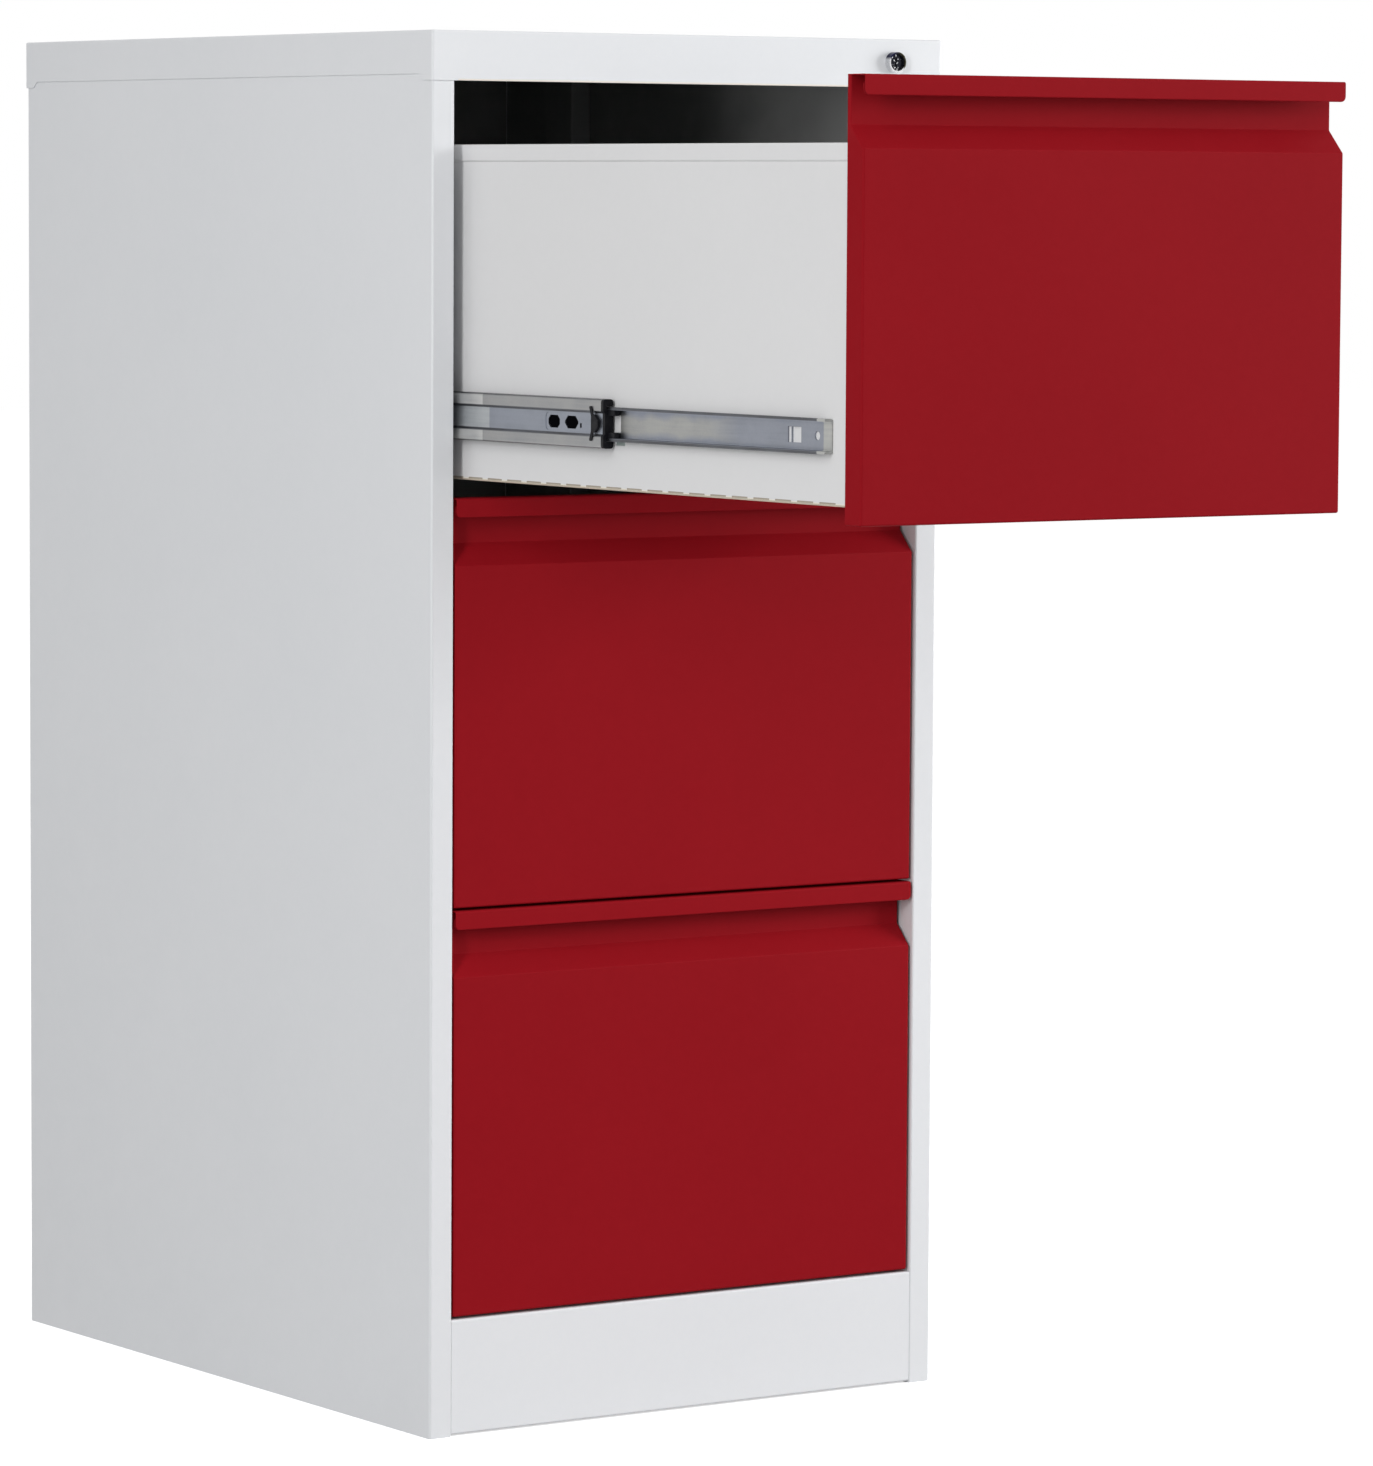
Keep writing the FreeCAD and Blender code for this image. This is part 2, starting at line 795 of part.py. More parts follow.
def bumper_spring():
    """Left latch spring on the intermediate member's web: a bulged plate with a tail at each end."""
    back = middle_front + spring_back
    front = back - spring_bulge
    half = spring_height / 2
    waist = spring_waist / 2
    shoulder = back - spring_shoulder
    outline = [
        (back, -half),
        (back, half),
        (shoulder, half),
        (front, waist),
        (front, -waist),
        (shoulder, -half),
    ]
    round_ends = 2 * spring_round
    radii = [0, 0, round_ends, round_ends, round_ends, round_ends]
    face_x = -mount_half + slide_steel + spring_side_gap
    web_x = -middle_outer + middle_step
    plate = outline_face(outline, radii, plane_yz).extrude(Vector(web_x - face_x, 0, 0))
    pieces = [moved(plate, face_x, 0, 0)]
    tail = [
        (back - spring_tail_width, half - spring_round),
        (back, half - spring_round),
        (back + spring_tail_slant, half + spring_tail),
        (back + spring_tail_slant - spring_tail_width, half + spring_tail),
    ]
    tail_radii = [0, 0, spring_round, spring_round]
    for side in (1, -1):
        turned = [(y, side * z) for y, z in tail]
        strip = outline_face(turned, tail_radii, plane_yz).extrude(Vector(-middle_outer - face_x, 0, 0))
        pieces.append(moved(strip, face_x, 0, 0))
    return fused(pieces)


def drawer_front():
    """Red skin: bottom return, face, slope, neck, top and hooked lip, with folded ends."""
    top = front_height
    lip_bottom = top - lip_height
    path = [
        (front_back, 0),
        (front_face, 0),
        (front_face, top - slope_bottom),
        (neck_face, top - neck_bottom),
        (neck_face, top),
    ]
    skin = folded(path, front_sheet, [fold] * 3, plane_yz, Vector(2 * front_half, 0, 0))
    hook = [
        (lip_face + hem_width, lip_bottom + hem_return),
        (lip_face + hem_width, lip_bottom),
        (lip_face, lip_bottom),
        (lip_face, top),
        (liner_front, top),
    ]
    hook_folds = [hem_fold, hem_fold, fold]
    hook_sheet = folded(hook, front_sheet, hook_folds, plane_yz, Vector(2 * front_half, 0, 0))
    end_outline = [
        (front_back, 0),
        (front_face, 0),
        (front_face, top - slope_bottom),
        (neck_face, top - neck_bottom),
        (neck_face, top),
        (front_back, top),
    ]
    end_radii = [0, fold + front_sheet, fold, fold + front_sheet, 0, 0]
    end = outline_face(end_outline, end_radii, plane_yz).extrude(Vector(front_sheet, 0, 0))
    other_end = moved(end, 2 * front_half - front_sheet, 0, 0)
    front = moved(fused([skin, hook_sheet, end, other_end]), -front_half, 0, 0)
    face_edges = []
    for edge in front.Edges:
        box = edge.BoundBox
        outermost = abs(abs(box.Center.x) - front_half) < nearness and box.XLength < nearness
        on_face = abs(box.Center.y - front_face) < nearness and box.YLength < nearness
        if outermost and on_face and box.ZLength > front_height / 2:
            face_edges.append(edge)
    front = front.makeFillet(front_edge_radius, face_edges)
    corners = []
    hook_back = lip_face + hem_width + nearness
    for side in (-1, 1):
        outer_x = side * (front_half + overcut)
        inner_x = side * (front_half - lip_corner_radius)
        centre_z = lip_bottom + lip_corner_radius
        low = block(min(outer_x, inner_x), max(outer_x, inner_x), lip_face - overcut, hook_back,
                    lip_bottom - overcut, centre_z)
        kept = along_y(lip_corner_radius, inner_x, centre_z, lip_face - 2 * overcut, hook_back + overcut)
        corners.append(low.cut(kept))
    return front.cut(Part.makeCompound(corners))


def front_liner():
    """Panel that closes the back of the red skin."""
    half = front_half - front_sheet - liner_fit
    return block(-half, half, liner_front, tray_front, front_sheet, front_height - liner_fit)


def tray():
    """Drawer body: one sheet folded to a bottom, two sides and a hanging rail on each side."""
    band_x = tray_half + band_proud
    rail_x = band_x - rail_width
    band_low = tray_top - band_height
    left = [
        (-tray_half, tray_rise),
        (-tray_half, band_low - band_proud),
        (-band_x, band_low),
        (-band_x, tray_top),
        (-rail_x, tray_top),
        (-rail_x, tray_top - rail_drop),
    ]
    path = [(-x, z) for x, z in left[::-1]] + left
    small = tray_fold / 2
    left_folds = [tray_fold, small, small, tray_fold, tray_fold]
    body = folded(path, tray_sheet, left_folds[::-1] + left_folds, plane_xz, Vector(0, tray_depth, 0))
    body = moved(body, 0, tray_front, 0)
    slots = []
    slot_count = int((tray_depth - first_slot) // slot_pitch)
    for i in range(slot_count):
        y0 = front_back + first_slot + i * slot_pitch
        z0 = tray_rise + slot_rise
        for x0 in (-tray_half - overcut, tray_half - slot_depth):
            x1 = x0 + overcut + slot_depth
            slots.append(block(x0, x1, y0, y0 + slot_length, z0, z0 + slot_height))
    for back in tray_hook_backs:
        y0 = front_back + back
        y1 = y0 + tray_hook_slot_length
        high = tray_hook_z + tray_hook_height / 2 + hook_slot_fit
        for side in (-1, 1):
            x = side * tray_half
            slots.append(block(x - overcut, x + overcut, y0, y1, tray_hook_low, high))
    return body.cut(Part.makeCompound(slots))


def tray_back():
    """Rear wall of a drawer, with a flange along each side."""
    half = tray_half - tray_sheet - tray_back_fit
    path = [
        (-half, tray_rear - tray_back_flange),
        (-half, tray_rear),
        (half, tray_rear),
        (half, tray_rear - tray_back_flange),
    ]
    low = tray_rise + tray_sheet + tray_fold
    wall = folded(path, sheet, [fold, fold], plane_xy, Vector(0, 0, tray_top - tray_back_drop - low))
    return moved(wall, 0, 0, low)


def striker():
    """Angle on the right side of a drawer that a hook of the lock bar catches."""
    z0 = striker_rise
    z1 = striker_rise + striker_height
    plate_back = striker_front + striker_thickness
    plate = block(tray_half, tray_half + striker_reach, striker_front, plate_back, z0, z1)
    foot_back = striker_front + striker_foot
    foot = block(tray_half, tray_half + striker_thickness / 2, striker_front, foot_back, z0, z1)
    return fused([plate, foot])


def lock_housing():
    """Chromed bezel and body. The nut on it clamps the cap's skirt and the bracket."""
    face_y = -half_depth
    bezel_y = face_y - bezel_length
    mouth_at = Vector(lock_x, bezel_y, lock_z)
    inward = Vector(0, 1, 0)
    bore_radius = plug_radius + plug_fit
    bezel = Part.makeCone(bezel_front_radius, bezel_base_radius, bezel_length, mouth_at, inward)
    body = along_y(housing_radius, lock_x, lock_z, face_y - overcut, housing_back)
    mouth = Part.makeCone(bezel_mouth_radius, bore_radius, bezel_mouth_depth, mouth_at, inward)
    bore = along_y(bore_radius, lock_x, lock_z, bezel_y - overcut, housing_back + overcut)
    return fused([bezel, body]).cut(fused([mouth, bore]))


def lock_nut():
    """Hexagon nut behind the lock's bracket."""
    half_step = math.pi / nut_sides
    corner_radius = nut_flats / 2 / math.cos(half_step)
    corners = []
    for i in range(nut_sides):
        angle = half_step * (2 * i + 1)
        corners.append((lock_x + corner_radius * math.cos(angle), lock_z + corner_radius * math.sin(angle)))
    nut = outline_face(corners, [0] * nut_sides, plane_xz).extrude(Vector(0, nut_thickness, 0))
    nut = moved(nut, 0, rail_back, 0)
    hole_back = rail_back + nut_thickness + overcut
    return nut.cut(along_y(housing_radius + plug_fit, lock_x, lock_z, rail_back - overcut, hole_back))


def lock_plug():
    """Turning plug with a keyway in its face and a square tail."""
    face_y = -half_depth - bezel_length + plug_face_depth
    plug = along_y(plug_radius, lock_x, lock_z, face_y, housing_back)
    half = tail_width / 2
    tail_front = housing_back - overcut
    tail = block(lock_x - half, lock_x + half, tail_front, plug_tail_back, lock_z - half, lock_z + half)
    keyway = block(
        lock_x - keyway_width / 2,
        lock_x + keyway_width / 2,
        face_y - overcut,
        face_y + keyway_depth,
        lock_z - keyway_height / 2,
        lock_z + keyway_height / 2,
    )
    return fused([plug, tail]).cut(keyway)


def cam_pin_place(angle):
    """Middle of the cam's pin when the cam stands at an angle."""
    turn = math.radians(angle)
    return lock_x + cam_throw * math.cos(turn), lock_z + cam_throw * math.sin(turn)


def lock_cam():
    """Plate on the plug's tail. Its pin lifts the lock bar."""
    pin_x, pin_z = cam_pin_place(cam_rest_angle)
    front_y = cam_back - cam_thickness
    hub = along_y(cam_hub_radius, lock_x, lock_z, front_y, cam_back)
    ear = along_y(cam_pin_radius + cam_ear_wall, pin_x, pin_z, front_y, cam_back)
    pin = along_y(cam_pin_radius, pin_x, pin_z, front_y, cam_back + cam_pin_length)
    half = tail_width / 2 + tail_fit
    square = block(lock_x - half, lock_x + half, front_y - overcut, cam_back + overcut,
                   lock_z - half, lock_z + half)
    return fused([hub, ear, pin]).cut(square)


def hook_top(index):
    """Top of a hook on the lock bar while the drawers are free to open."""
    return front_bottom(index) + striker_rise - striker_drop_gap


def lock_bar():
    """Flat bar inside the right stile, with an arm to the cam and a hook for each drawer."""
    pin_x, pin_z = cam_pin_place(cam_rest_angle)
    arm_left = lock_x - cam_throw - bar_arm_overrun
    arm_top = pin_z + bar_arm_height / 2
    bottom = hook_top(0) - hook_arm_height - bar_bottom_run
    pieces = [
        block(bar_inner, bar_outer, bar_front, bar_back, bottom, arm_top),
        block(arm_left, bar_outer, bar_front, bar_back, pin_z - bar_arm_height / 2, arm_top),
    ]
    for index in range(drawer_count):
        high = hook_top(index)
        hook_tip = bar_inner - hook_arm_reach
        pieces.append(block(hook_tip, bar_outer, bar_front, bar_back, high - hook_arm_height, high))
    slot_left = lock_x - cam_throw - cam_pin_radius - bar_slot_fit
    slot_right = pin_x + cam_pin_radius + bar_slot_fit
    slot_half = cam_pin_radius + bar_slot_fit
    slot = block(slot_left, slot_right, bar_front - overcut, bar_back + overcut,
                 pin_z - slot_half, pin_z + slot_half)
    return fused(pieces).cut(slot)


def lock_bar_guides():
    """Square eyes on the right front upright that the bar slides in."""
    x0 = opening_half - upright_inset
    x1 = wall_half
    y0 = bar_front - guide_gap - guide_wall
    y1 = front_upright_y
    eyes = []
    for z in guide_rises:
        outside = block(x0, x1, y0, y1, z, z + guide_height)
        low = z - overcut
        high = z + guide_height + overcut
        inside = block(bar_inner - guide_gap, bar_outer + guide_gap, bar_front - guide_gap,
                       bar_back + guide_gap, low, high)
        hollow = block(x0 + guide_wall, x1 - guide_wall, bar_back + guide_gap + guide_wall,
                       y1 - guide_wall, low, high)
        eyes.append(outside.cut(inside).cut(hollow))
    return Part.makeCompound(eyes)


def save(name, shape):
    shape.exportStep("parts/" + name + ".step")


def save_both_sides(pattern, shape):
    """Writes a left piece and its mirror image as two nodes."""
    save(pattern.format("left"), shape)
    save(pattern.format("right"), mirrored(shape))


def pair(solids):
    """Left solids and their mirror images in one group."""
    return Part.makeCompound(solids + [mirrored(s) for s in solids])


def save_carcass():
    save_both_sides("{}_side_panel", side_panel())
    save("back_panel", back_panel())
    save("top_cap", top_cap())
    save("plinth", plinth())
    save("base_pan", base_pan())
    save_both_sides("{}_front_upright", upright(front_upright_y))
    save_both_sides("{}_rear_upright", upright(rear_upright_y))
    save("top_front_rail", top_front_rail())
    save("lock_bracket", lock_bracket())


def save_lock():
    save("lock_housing", lock_housing())
    save("lock_nut", lock_nut())
    save("lock_plug", lock_plug())
    save("lock_cam", lock_cam())
    save("lock_bar", lock_bar())
    save("lock_bar_guides", lock_bar_guides())


def save_drawers():
    drawer_pieces = {
        "{}_drawer_front": drawer_front(),
        "{}_front_liner": front_liner(),
        "{}_tray": tray(),
        "{}_tray_back": tray_back(),
        "{}_striker": striker(),
    }
    cabinet = cabinet_member()
    middle = middle_member()
    drawer = drawer_member()
    bumpers = pair([bumper(), bumper_spring()])
    outer_retainers = pair(outer_retainer())
    inner_retainers = pair(inner_retainer())
    outer_ratio = middle_member_ratio / 2
    inner_ratio = (1 + middle_member_ratio) / 2
    for index, name in enumerate(drawer_names):
        low = front_bottom(index)
        middle_z = low + slide_rise
        out = shown_open(name)
        for pattern, shape in drawer_pieces.items():
            save(pattern.format(name), moved(shape, 0, -out, low))
        save_both_sides(name + "_{}_cabinet_member", moved(cabinet, 0, 0, middle_z))
        save_both_sides(name + "_{}_middle_member", moved(middle, 0, -out * middle_member_ratio, middle_z))
        save_both_sides(name + "_{}_drawer_member", moved(drawer, 0, -out, middle_z))
        save(name + "_slide_bumpers", moved(bumpers, 0, -out * middle_member_ratio, middle_z))
        save(name + "_outer_ball_retainers", moved(outer_retainers, 0, -out * outer_ratio, middle_z))
        save(name + "_inner_ball_retainers", moved(inner_retainers, 0, -out * inner_ratio, middle_z))


os.makedirs("parts", exist_ok=True)
save_carcass()
save_lock()
save_drawers()
print("height", cabinet_height, "bar lift", round(bar_lift, 3))
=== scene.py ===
import json
import math

import bpy
from mathutils import Matrix, Vector


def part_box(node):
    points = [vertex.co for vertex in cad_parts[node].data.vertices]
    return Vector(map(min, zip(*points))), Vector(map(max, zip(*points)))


# The looks of a three-drawer steel filing cabinet: its finishes, a white studio and the camera.
# Metres, in the cabinet's own frame: X to the right, Y to the back, Z up.

# The picture's frame and the camera, solved from the cabinet's straight edges
photo_height = 1466
focal_pixels = 6626.7
sensor_size = 36.0
camera_place = Vector((-2.7952, -4.4334, 0.9236))
camera_yaw = math.radians(-34.1038)
camera_pitch = math.radians(-4.6744)
camera_roll = math.radians(0.3087)
camera_reach = 100.0

# The studio: how bright the surround and the floor are as light, against the white that they show
world_level = 0.45
floor_size = 40.0
floor_shade = 0.45
floor_glow = 0.57
lamps_aim = Vector((0.0, -0.2, 0.55))

# Paints, metals and plastic, as linear red, green and blue
white_paint = (0.785, 0.797, 0.818)
white_paint_thin = (0.765, 0.780, 0.803)
# painted highlight: a cream line along the lower edge of the cap's front
cap_edge_highlight = (0.830, 0.770, 0.680)
# painted shade inside the carcass: near-white at the front, turning dark grey towards the back
inner_coat = (0.740, 0.745, 0.740)
inner_painted_shade = (0.360, 0.366, 0.362)
red_paint = (0.296, 0.0070, 0.0124)
red_paint_thin = (0.278, 0.0062, 0.0113)
drawer_white = (0.770, 0.770, 0.776)
drawer_white_thin = (0.752, 0.753, 0.759)
# painted highlight on the trays' folded lower edges
fold_highlight_cream = (0.860, 0.790, 0.640)
# painted shade in the slots along the trays' folds
slot_painted_shade = (0.420, 0.370, 0.300)
zinc_band = (0.336, 0.334, 0.327)
# painted light: paler zinc on the middle members' bands and web towards their back ends
zinc_band_painted_light = (0.600, 0.597, 0.580)
zinc_web = (0.274, 0.293, 0.336)
zinc_web_painted_light = (0.480, 0.500, 0.510)
zinc_strip = (0.381, 0.379, 0.361)
zinc_strip_blue = (0.269, 0.287, 0.336)
# painted shade in the bends and along the edges of the slide members
zinc_crease_shade = (0.075, 0.075, 0.080)
zinc_shade = (0.175, 0.188, 0.215)
zinc_flare = (0.480, 0.480, 0.450)
# painted light: a pale matt colour for the hook tabs that sit in shade behind the trays' slots
tab_painted_light = (0.480, 0.560, 0.530)
ball_light = (0.700, 0.700, 0.710)
ball_dull = (0.520, 0.525, 0.540)
# painted reflection on the lock: bright chrome, a dark face, and a navy to olive tint where the rim turns
# dark
chrome_light = (0.800, 0.800, 0.815)
chrome_dull = (0.560, 0.565, 0.590)
chrome_dark = (0.022, 0.023, 0.030)
chrome_olive = (0.060, 0.055, 0.035)
chrome_navy = (0.020, 0.022, 0.060)
plastic_black = (0.006, 0.006, 0.008)
plastic_rubbed = (0.014, 0.014, 0.016)
greased_strip = (0.003, 0.003, 0.004)

# Grain of the finishes, as noise cells per metre
paint_drift = 5.0
paint_fleck = 190.0
paint_gloss = 60.0
paint_peel = 420.0
paint_grit = 2600.0
# patches in how strong the painted shade inside the carcass is
inner_shade_patch = 22.0
zinc_streak = 420.0
zinc_cloud = 34.0
zinc_fleck = 700.0
zinc_drift = 60.0
strip_wander = 45.0
ball_film = 900.0
ball_scratch = 5200.0
plastic_grain = 1900.0
plastic_rub = 160.0
chrome_speck = 1400.0
chrome_ripple = 3600.0
face_speck_cell = 620.0
floor_grain = 140.0

# How far apart the two ends of a noise are taken, and how much zinc's streaks are drawn out along Y
soft_span = (0.35, 0.65)
wide_span = (0.30, 0.70)
streak_stretch = 0.035

# Depth of the orange peel in the paints
carcass_peel = 0.00006
drawer_peel = 0.00005

# Sheet thickness, where the painted outside of the carcass ends behind the stiles, and the span towards
# the back over which painted shade darkens the inside
sheet = 0.0007
inside_from_return = 0.0215
inner_shade_from = -0.285
inner_shade_full = 0.0

# A tray's wall, from the band along its top, and the zones of the painted highlight on its folded edge
# and the painted shade in its slots, in sheets
wall_from_band = 0.0012
fold_highlight_span = (1.8, 3.2)
slot_depth = (0.7, 0.1)
slot_height = 8

# Heights of the zones on the slides, from each slide's middle line
web_edge = 0.0074
band_edge = 0.0093
member_edge = 0.0168
strip_edge = 0.0102
strip_middle = (0.004, 0.009)
strip_stray = 0.002
retainer_web = 0.0120
line_blur = 0.0003

# Zones along the slides, from the front end of each member
# where the painted light on the middle members' bands and web begins
band_light_from = 0.157
web_light_from = 0.150
pale_blur = 0.0008
flared_end = 0.009
flare_blur = 0.001
blue_end = 0.110
warm_start = 0.150

# Zones of the lock: its mouth's radius, the painted reflection's tint across it, and the slant where the
# painted reflection turns the bright rim dark
mouth_radius = 0.0064
mouth_blur = 0.0001
tint_half = 0.003
rim_slant = 0.55
reflection_dark_low = -0.0022
reflection_dark_high = 0.0004

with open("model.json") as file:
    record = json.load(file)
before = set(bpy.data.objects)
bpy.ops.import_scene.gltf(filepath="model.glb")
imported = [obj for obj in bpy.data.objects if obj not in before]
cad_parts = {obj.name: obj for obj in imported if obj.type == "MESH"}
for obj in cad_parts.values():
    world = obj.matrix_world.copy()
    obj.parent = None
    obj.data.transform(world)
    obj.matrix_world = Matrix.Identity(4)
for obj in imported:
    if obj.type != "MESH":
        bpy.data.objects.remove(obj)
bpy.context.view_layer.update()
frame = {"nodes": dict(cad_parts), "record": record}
nodes = frame["nodes"]


class Finish:
    """A procedural material while its nodes are laid out."""

    def __init__(self, name):
        self.material = bpy.data.materials.new(name)
        self.material.use_nodes = True
        self.tree = self.material.node_tree
        self.shader = self.tree.nodes["Principled BSDF"]
        self.place = self.add("ShaderNodeTexCoord").outputs["Object"]

    def add(self, kind, inputs=None, **settings):
        """A new node with its settings and inputs."""
        node = self.tree.nodes.new(kind)
        for key, value in settings.items():
            setattr(node, key, value)
        for key, value in (inputs or {}).items():
            self.feed(node.inputs[key], value)
        return node

    def feed(self, socket, value):
        """Links another node's output to a socket, or sets the socket to a number or colour."""
        if isinstance(value, bpy.types.NodeSocket):
            self.tree.links.new(value, socket)
        elif socket.type == "RGBA" and len(value) == 3:
            socket.default_value = (*value, 1.0)
        else:
            socket.default_value = value

    def stretched(self, x, y, z):
        """The object's own coordinates, multiplied along each axis."""
        mapping = self.add("ShaderNodeMapping", {"Vector": self.place, "Scale": (x, y, z)})
        return mapping.outputs["Vector"]

    def noise(self, scale, detail=2.0, roughness=0.5, place=None):
        """Noise from zero to one over the object's own coordinates."""
        inputs = {
            "Vector": place or self.place,
            "Scale": scale,
            "Detail": detail,
            "Roughness": roughness,
        }
        return self.add("ShaderNodeTexNoise", inputs).outputs["Fac"]

    def ranged(self, value, low, high, to_low=0.0, to_high=1.0):
        """A value between low and high, spread over another range and held at its ends."""
        inputs = {
            "Value": value,
            "From Min": low,
            "From Max": high,
            "To Min": to_low,
            "To Max": to_high,
        }
        return self.add("ShaderNodeMapRange", inputs).outputs["Result"]

    def falling(self, value, low, high):
        """One up to low, and zero from high."""
        return self.ranged(value, low, high, 1.0, 0.0)

    def maths(self, operation, first, second=0.0):
        """One sum on two numbers or outputs."""
        node = self.add("ShaderNodeMath", {0: first, 1: second}, operation=operation)
        return node.outputs["Value"]

    def blend(self, factor, first, second):
        """The first colour where the factor is zero, and the second where it is one."""
        node = self.add("ShaderNodeMix", data_type="RGBA")
        factor_socket, first_socket, second_socket = (node.inputs[index] for index in (0, 6, 7))
        self.feed(factor_socket, factor)
        self.feed(first_socket, first)
        self.feed(second_socket, second)
        return node.outputs[2]

    def bump(self, height, distance, strength, under=None):
        """A normal with a height worked into it, over another normal if one is given."""
        inputs = {"Height": height, "Distance": distance, "Strength": strength}
        if under:
            inputs["Normal"] = under
        return self.add("ShaderNodeBump", inputs).outputs["Normal"]

    def axes(self):
        """X, Y and Z of the object's own coordinates."""
        split = self.add("ShaderNodeSeparateXYZ", {"Vector": self.place})
        return split.outputs["X"], split.outputs["Y"], split.outputs["Z"]

    def all_of(self, *masks):
        """One where every mask is one."""
        total = masks[0]
        for mask in masks[1:]:
            total = self.maths("MULTIPLY", total, mask)
        return total

    def off_row(self, z):
        """Distance above or below the middle line of the nearest slide."""
        low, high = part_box("bottom_left_middle_member")
        next_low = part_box("middle_left_middle_member")[0]
        middle = (low.z + high.z) / 2
        pitch = next_low.z - low.z
        return self.maths("PINGPONG", self.maths("SUBTRACT", z, middle), pitch / 2)

    def set(self, **inputs):
        """Shader inputs by name, with underscores for spaces."""
        for key, value in inputs.items():
            self.feed(self.shader.inputs[key.replace("_", " ")], value)
        return self.material


def powder_tone(finish, full, thin):
    """Powder coat's colour: wide drifts of thickness and a fine fleck."""
    drift = finish.ranged(finish.noise(paint_drift, 3.0), *soft_span)
    fleck = finish.ranged(finish.noise(paint_fleck, 3.0), *wide_span)
    drift_part = finish.maths("MULTIPLY", drift, 0.6)
    fleck_part = finish.maths("MULTIPLY", fleck, 0.4)
    return finish.blend(finish.maths("ADD", drift_part, fleck_part), full, thin)


def powder_surface(finish, low, high, peel):
    """Powder coat's uneven gloss and its orange peel."""
    gloss = finish.ranged(finish.noise(paint_gloss, 4.0), *wide_span, low, high)
    waves = finish.noise(paint_peel, 2.0)
    grit = finish.noise(paint_grit, 1.0)
    peeled = finish.bump(waves, peel, 0.6)
    return gloss, finish.bump(grit, peel / 4, 0.35, peeled)


def carcass_paint():
    """White powder coat outside, with a painted highlight along the cap's lower front edge; inside,
    painted shade that darkens it towards the back.
    """
    finish = Finish("white_powder_coat")
    panel_low, panel_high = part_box("right_side_panel")
    cap_low, cap_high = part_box("top_cap")
    back_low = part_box("back_panel")[0]
    front_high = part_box("bottom_drawer_front")[1]
    x, y, z = finish.axes()
    across = finish.maths("ABSOLUTE", x)
    # Painted shade: faces inside the carcass blend from a near-white coat to a dark grey that grows
    # towards the back, in uneven patches.
    inside = finish.all_of(
        finish.maths("LESS_THAN", across, panel_high.x - sheet / 2),
        finish.maths("GREATER_THAN", y, panel_low.y + inside_from_return),
        finish.maths("LESS_THAN", y, back_low.y + sheet / 2),
        finish.maths("LESS_THAN", z, cap_high.z - sheet / 2),
    )
    # Painted highlight: a cream line along the lower edge of the cap's front skirt, over the drawer
    # fronts.
    skirt_highlight_mask = finish.all_of(
        finish.maths("LESS_THAN", y, panel_low.y),
        finish.maths("LESS_THAN", across, front_high.x),
        finish.falling(z, cap_low.z + sheet, cap_low.z + 2 * sheet),
        finish.maths("GREATER_THAN", z, cap_low.z - sheet),
    )
    outer = powder_tone(finish, white_paint, white_paint_thin)
    outer = finish.blend(skirt_highlight_mask, outer, cap_edge_highlight)
    depth_shade = finish.ranged(y, inner_shade_from, inner_shade_full)
    patchy = finish.ranged(finish.noise(inner_shade_patch, 3.0), *wide_span, 0.85, 1.15)
    inner = finish.blend(finish.maths("MULTIPLY", depth_shade, patchy), inner_coat, inner_painted_shade)
    gloss, normal = powder_surface(finish, 0.38, 0.52, carcass_peel)
    colour = finish.blend(inside, outer, inner)
    finish.set(Base_Color=colour, Roughness=gloss, Normal=normal, IOR=1.5)
    return finish.set(Specular_IOR_Level=0.35)


def front_paint():
    """Dark red powder coat."""
    finish = Finish("red_powder_coat")
    colour = powder_tone(finish, red_paint, red_paint_thin)
    gloss, normal = powder_surface(finish, 0.42, 0.54, drawer_peel)
    finish.set(Base_Color=colour, Roughness=gloss, Normal=normal, IOR=1.45)
    return finish.set(Specular_IOR_Level=0.03)


def drawer_paint():
    """Off-white powder coat, with a painted cream highlight on the folded lower edge and painted shade in
    the slots above it.
    """
    finish = Finish("off_white_powder_coat")
    tray_low, tray_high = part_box("bottom_tray")
    next_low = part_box("middle_tray")[0]
    x, _, z = finish.axes()
    pitch = next_low.z - tray_low.z
    rise = finish.maths("FLOORED_MODULO", finish.maths("SUBTRACT", z, tray_low.z), pitch)
    across = finish.maths("ABSOLUTE", x)
    wall = tray_high.x - wall_from_band
    fold_low, fold_high = fold_highlight_span
    slot_inner, slot_outer = slot_depth
    # Painted highlight: a cream line along the fold at the bottom of each tray's walls.
    fold_highlight = finish.all_of(
        finish.maths("GREATER_THAN", across, wall - 2 * sheet),
        finish.falling(rise, fold_low * sheet, fold_high * sheet),
    )
    # Painted shade: the floors of the slots above the fold are painted dark brown-grey.
    in_slot = finish.all_of(
        finish.maths("GREATER_THAN", across, wall - slot_inner * sheet),
        finish.maths("LESS_THAN", across, wall - slot_outer * sheet),
        finish.maths("LESS_THAN", rise, slot_height * sheet),
        finish.maths("GREATER_THAN", rise, sheet),
    )
    colour = powder_tone(finish, drawer_white, drawer_white_thin)
    colour = finish.blend(fold_highlight, colour, fold_highlight_cream)
    colour = finish.blend(in_slot, colour, slot_painted_shade)
    gloss, normal = powder_surface(finish, 0.40, 0.55, drawer_peel)
    finish.set(Base_Color=colour, Roughness=gloss, Normal=normal, IOR=1.5)
    return finish.set(Specular_IOR_Level=0.30)


